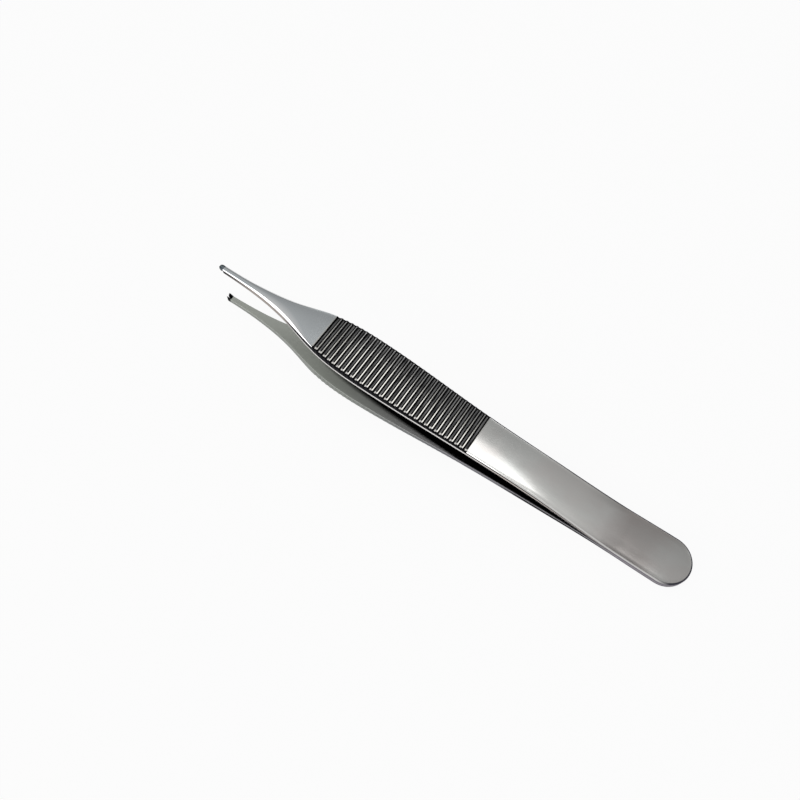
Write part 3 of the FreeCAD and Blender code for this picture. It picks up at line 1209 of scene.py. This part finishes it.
    def points(self, milled: bool) -> np.ndarray:
        """Points of the loft.

        Args:
            milled: Whether they lie as at the bottom of a groove.

        Returns:
            Places in the limb's frame, by row and then round the half section.
        """
        z = self.sizes
        centres, edges = self.rows()
        away = edges - centres
        reach = np.hypot(*away.T)
        away = away / reach[:, None]
        runs, drops, rises, shares = self.profile(reach, edges[:, 0], milled)
        stations = centres[:, :1] + away[:, :1] * runs
        across = away[:, 1:] * runs
        outer, inner = z.outer_height(stations), z.inner_height(stations)
        bevel = z.outer_bevel_at(edges[:, 0])
        last_drop = drops[:, self.face_points + 2 * self.corner_points - 1][:, None]
        from_outer = outer - drops
        wall_top = outer - last_drop
        wall_bottom = inner + z.inner_bevel
        from_wall = wall_top + (wall_bottom - wall_top) * shares
        heights = np.where(shares > 0, from_wall, from_outer)
        heights = np.where(shares >= 1, inner + rises, heights)
        heights = np.minimum(heights, z.nose_ceiling(stations))
        slope = (z.outer_height(stations + 0.1) - z.outer_height(stations - 0.1)) / 0.2
        tilt = np.where(milled & (shares == 0), slope * drops, 0.0)
        sign = self.side.value
        return np.stack([-stations - tilt, across, sign * heights], -1)

    def blank(self) -> bpy.types.Object:
        """Loft the smooth limb, with each point's station and milled place kept on it.

        Returns:
            The object, closed and with its faces outward.
        """
        plain, milled = self.points(False), self.points(True)
        rows, ring, _ = plain.shape
        flat = plain.reshape(-1, 3)
        _, first, index = np.unique(np.round(flat, 6), axis=0, return_index=True, return_inverse=True)
        index = index.reshape(rows, ring)
        faces = []
        for row in range(rows):
            after = (row + 1) % rows
            for k in range(ring - 1):
                corners = [index[row, k], index[row, k + 1], index[after, k + 1], index[after, k]]
                if self.side is Side.LOWER:
                    corners.reverse()
                corners = [c for i, c in enumerate(corners) if c != corners[i - 1]]
                if len(corners) > 2:
                    faces.append(tuple(int(c) for c in corners))
        piece = mesh_object(self.name, flat[first], faces)
        mesh = piece.data
        mesh.attributes.new("station", "FLOAT", "POINT").data.foreach_set("value", -flat[first][:, 0])
        places = mesh.attributes.new("milled", "FLOAT_VECTOR", "POINT")
        places.data.foreach_set("vector", milled.reshape(-1, 3)[first].ravel())
        return piece

    def tooth_stock(self) -> bpy.types.Object:
        """Metal that stands up from the inner face at the tip, hooked towards the point.

        Returns:
            The solid, trimmed to the limb's outline just inside its edge.
        """
        z = self.sizes
        sign = self.side.value
        back = z.total_length - z.tooth_length
        foot = np.array([back, float(z.inner_height(back))])
        point = np.array([z.total_length - z.tooth_lean, z.tip_half_gap - z.tooth_height])
        sag = np.array([z.tooth_back_sag, z.tooth_back_sag])
        u = np.linspace(0, 1, 15)[:, None]
        curve = foot * (1 - u) ** 2 + ((foot + point) / 2 + 2 * sag) * 2 * u * (1 - u) + point * u**2
        root = foot[1] + z.tip_thickness / 2
        corners = [*curve.tolist(), [z.total_length, z.tip_half_gap], [z.total_length, root], [back, root]]
        outline = [(-s, -z.tip_width, sign * h) for s, h in corners]
        stock = prism("tooth stock", outline, (0, 2 * z.tip_width, 0))
        inset = 0.004
        along = np.linspace(back - 0.3, z.round_tip_station, 12)
        edge = z.half_width(along) - inset
        turn = np.linspace(0, np.pi, 16)[1:-1]
        radius = z.tip_radius - inset
        plan = [(-s, -w, 0.0) for s, w in zip(along, edge)]
        plan += [(-z.round_tip_station - radius * math.sin(a), -radius * math.cos(a), 0.0) for a in turn]
        plan += [(-s, w, 0.0) for s, w in zip(along[::-1], edge[::-1])]
        carve(stock, prism("plan", plan, (0, 0, sign * 2 * z.tip_half_gap)), "INTERSECT")
        return stock

    def flank_corners(self, extra: float) -> tuple[float, float, float, float]:
        """Heights and half widths of the wedge that forms the tooth, or the notch with extra width.

        Args:
            extra: What each side gains.

        Returns:
            Height of its narrow end and of its wide end, and its half width at either.
        """
        z = self.sizes
        top = z.tip_half_gap - z.tooth_height
        bottom = z.tip_half_gap + z.tooth_height + z.tooth_root_clearance
        half_top = z.tooth_point_width / 2 + extra
        return top, bottom, half_top, half_top + (bottom - top) * z.tooth_flank_slope

    def cut_teeth(self, piece: bpy.types.Object) -> None:
        """Give the tip its one tooth, or its two with the notch and the slot between them."""
        z = self.sizes
        overrun = 1.0
        carve(piece, self.tooth_stock(), "UNION")
        start = -(z.total_length - z.tooth_length)
        reach = (-z.tooth_length - overrun, 0, 0)
        if self.side is Side.UPPER:
            top, bottom, narrow, wide = self.flank_corners(0.0)
            low = z.tip_half_gap - overrun
            for sign in (-1, 1):
                section = [(narrow, low), (narrow, top), (wide, bottom)]
                section += [(2 * z.tip_width, bottom), (2 * z.tip_width, low)]
                outline = [(start, sign * y, h) for y, h in section]
                carve(piece, prism(f"relief {sign}", outline, reach), "DIFFERENCE")
            return
        top, bottom, narrow, wide = self.flank_corners(z.tooth_clearance)
        mirror = 2 * z.tip_half_gap
        low, high = mirror - bottom, mirror - top
        section = [(-narrow, high), (narrow, high), (wide, low), (-wide, low)]
        outline = [(start, y, -h) for y, h in section]
        carve(piece, prism("notch", outline, reach), "DIFFERENCE")
        half = z.fork_slot_width / 2
        front = -(z.total_length + overrun)
        floor = -(z.tip_half_gap + z.tip_thickness + overrun)
        ceiling = -(z.tip_half_gap - overrun)
        section = [(-half, floor), (half, floor), (half, ceiling), (-half, ceiling)]
        outline = [(front, y, h) for y, h in section]
        slot = prism("fork slot", outline, (z.fork_slot_length + overrun, 0, 0))
        carve(piece, slot, "DIFFERENCE")

    def mark_zones(self, mesh: bpy.types.Mesh) -> None:
        """Keep on each point where it lies on the limb, in mm, for the finish to read.

        Args:
            mesh: The limb's mesh, still in its own frame.
        """
        z = self.sizes
        count = len(mesh.vertices)
        places = np.empty(count * 3)
        mesh.vertices.foreach_get("co", places)
        places = places.reshape(-1, 3)
        station, across = -places[:, 0], places[:, 1]
        height = places[:, 2] * self.side.value
        edge = z.half_width(station) - np.abs(across)
        heel = z.heel_radius - np.hypot(station - z.heel_radius, across)
        tip = z.tip_radius - np.hypot(station - z.round_tip_station, across)
        edge = np.where(station < z.heel_radius, heel, edge)
        edge = np.where(station > z.round_tip_station, tip, edge)
        zones = {
            "station": station,
            "across": across,
            "edge": edge,
            "drop": z.outer_height(station) - height,
            "rise": height - z.inner_height(station),
            "bevel": z.outer_bevel_at(station),
        }
        for name in self.ZONES:
            layer = mesh.attributes.get(name) or mesh.attributes.new(name, "FLOAT", "POINT")
            layer.data.foreach_set("value", zones[name].astype(np.float32))

    def sharpen_tip(self, mesh: bpy.types.Mesh) -> None:
        """Keep the ground corners of the teeth sharp."""
        z = self.sizes
        limit = -(z.total_length - z.tooth_length - 0.2)
        body = bmesh.new()
        body.from_mesh(mesh)
        bmesh.ops.dissolve_degenerate(body, dist=1e-5, edges=body.edges)
        for edge in body.edges:
            near_tip = all(v.co.x < limit for v in edge.verts)
            if near_tip and len(edge.link_faces) == 2:
                edge.smooth = edge.calc_face_angle() < math.radians(38)
        for face in body.faces:
            face.smooth = True
        body.to_mesh(mesh)
        body.free()

    def make(self, lie: Lie, grooves: GrooveTree, finish: bpy.types.Material) -> bpy.types.Object:
        """Build, dress and place the limb.

        Args:
            lie: How the pair lies on the floor.
            grooves: The tree that mills the grip.
            finish: The limb's material.

        Returns:
            The finished piece, riding on the model's body.
        """
        piece = self.blank()
        piece.data.materials.append(finish)
        grooves.mill(piece, self.sizes, finish)
        self.cut_teeth(piece)
        self.sharpen_tip(piece.data)
        self.mark_zones(piece.data)
        weights = piece.modifiers.new("weighted normals", "WEIGHTED_NORMAL")
        weights.keep_sharp = True
        settle(piece)
        piece.data.transform(lie.matrix)
        piece.data.name = self.name
        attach(piece, "root")
        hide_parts(self.node)
        LOG.info("%s: %d points, %d faces", piece.name, len(piece.data.vertices), len(piece.data.polygons))
        return piece


@dataclass(frozen=True)
class Softbox:
    """A rectangular lamp."""

    name: str
    centre: tuple[float, float, float]
    target: tuple[float, float, float]
    size: tuple[float, float]
    radiance: float
    spin: float = 0.0

    def hang(self) -> None:
        """Hang the lamp, facing its target."""
        data = bpy.data.lights.new(self.name, "AREA")
        data.shape = "RECTANGLE"
        data.size, data.size_y = self.size
        data.energy = self.radiance * math.pi * self.size[0] * self.size[1]
        lamp = bpy.data.objects.new(self.name, data)
        lamp.location = self.centre
        way = Vector(self.target) - Vector(self.centre)
        turn = way.to_track_quat("-Z", "Y") @ Quaternion((0, 0, 1), math.radians(self.spin))
        lamp.rotation_euler = turn.to_euler()
        bpy.context.scene.collection.objects.link(lamp)


@dataclass(frozen=True)
class Studio:
    """The floor, the lamps, the world and the camera."""

    floor_side: float = 3.0
    floor_glow: float = 0.93
    overhead: Softbox = Softbox(
        "overhead_panel", (0.0174, 0.069, 0.45), (0.0174, 0.069, 0.0), (0.25, 0.23), 1.28, spin=-13.0
    )
    near_side: Softbox = Softbox("near_softbox", (-0.2, -0.48, 0.22), (-0.03, 0.0, 0.02), (0.52, 0.2), 1.7)
    near_grey: float = 0.6
    far_grey: float = 0.35
    grey_span: Span = (0.46, 0.3)
    paint_grey: float = 0.85

    def floor(self) -> bpy.types.Object:
        """Lay the floor.

        Returns:
            The floor, which isn't part of the forceps.
        """
        half = self.floor_side / 2
        corners = np.array([(-half, -half, 0), (half, -half, 0), (half, half, 0), (-half, half, 0)], float)
        floor = mesh_object("studio_floor", corners, [(0, 1, 2, 3)])
        material = bpy.data.materials.new("pale floor")
        material.use_nodes = True
        tree = Tree(material.node_tree)
        path = tree.node("ShaderNodeLightPath", {}, output="Is Camera Ray").socket.node
        rays = [Value(tree, path.outputs[f"Is {kind} Ray"]) for kind in ("Camera", "Glossy", "Transmission")]
        seen = (rays[0] + rays[1] + rays[2]).clamped()
        paint = tree.node("ShaderNodeBsdfDiffuse", {}, (self.paint_grey,) * 3)
        glow = tree.node("ShaderNodeEmission", {}, (1.0, 1.0, 1.0), 1.0)
        mixed = tree.node("ShaderNodeMixShader", {}, seen * self.floor_glow, paint, glow)
        tree.node("ShaderNodeOutputMaterial", {}, mixed)
        floor.data.materials.append(material)
        return floor

    def lamps(self) -> None:
        """Hang the lamps."""
        self.overhead.hang()
        self.near_side.hang()

    def world(self) -> None:
        """Set the soft light that comes from all round, darker on the far side."""
        world = bpy.data.worlds.new("studio")
        bpy.context.scene.world = world
        world.use_nodes = True
        tree = Tree(world.node_tree)
        way = tree.node("ShaderNodeTexCoord", {}, output="Generated")
        across = tree.node("ShaderNodeSeparateXYZ", {}, way, output="Y")
        grey = across.over(self.grey_span) * (self.near_grey - self.far_grey) + self.far_grey
        colour = tree.node("ShaderNodeCombineColor", {}, grey, grey, grey)
        light = tree.node("ShaderNodeBackground", {}, colour, 1.0)
        tree.node("ShaderNodeOutputWorld", {}, light)

    def camera(self, lie: Lie) -> None:
        """Stand the camera where the picture was taken.

        Args:
            lie: How the pair lies, because the view was measured against the limbs.
        """
        position = (-34.13, -68.37, 162.51)
        right = (0.82822, 0.55831, 0.04826)
        down = (0.52392, -0.74087, -0.42027)
        focal_pixels = 818.3
        data = bpy.data.cameras.new("camera")
        data.sensor_width = SENSOR_WIDTH
        data.lens = focal_pixels / IMAGE_SIDE * SENSOR_WIDTH
        data.clip_start, data.clip_end = 0.01, 20.0
        across = lie.turn(right).normalized()
        back = across.cross(-lie.turn(down)).normalized()
        upward = back.cross(across)
        camera = bpy.data.objects.new("camera", data)
        turn = Matrix((across, upward, back)).transposed().to_4x4()
        camera.matrix_world = Matrix.Translation(lie.matrix @ Vector(position)) @ turn
        bpy.context.scene.collection.objects.link(camera)
        bpy.context.scene.camera = camera


def main() -> None:
    """Build the forceps and its studio."""
    logging.basicConfig(level=logging.INFO, format="%(name)s: %(message)s")
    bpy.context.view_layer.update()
    sizes = LimbSizes()
    lie = Lie.from_frame(frame["record"], sizes)
    grooves = GrooveTree()
    for side, finish in ((Side.UPPER, UPPER_FINISH), (Side.LOWER, LOWER_FINISH)):
        Limb(side, sizes).make(lie, grooves, finish.build(sizes))
    studio = Studio()
    studio.floor()
    studio.lamps()
    studio.world()
    studio.camera(lie)
    scene = bpy.context.scene
    scene.view_settings.view_transform = "Standard"
    bpy.context.view_layer.update()


if __name__ == "__main__":
    main()
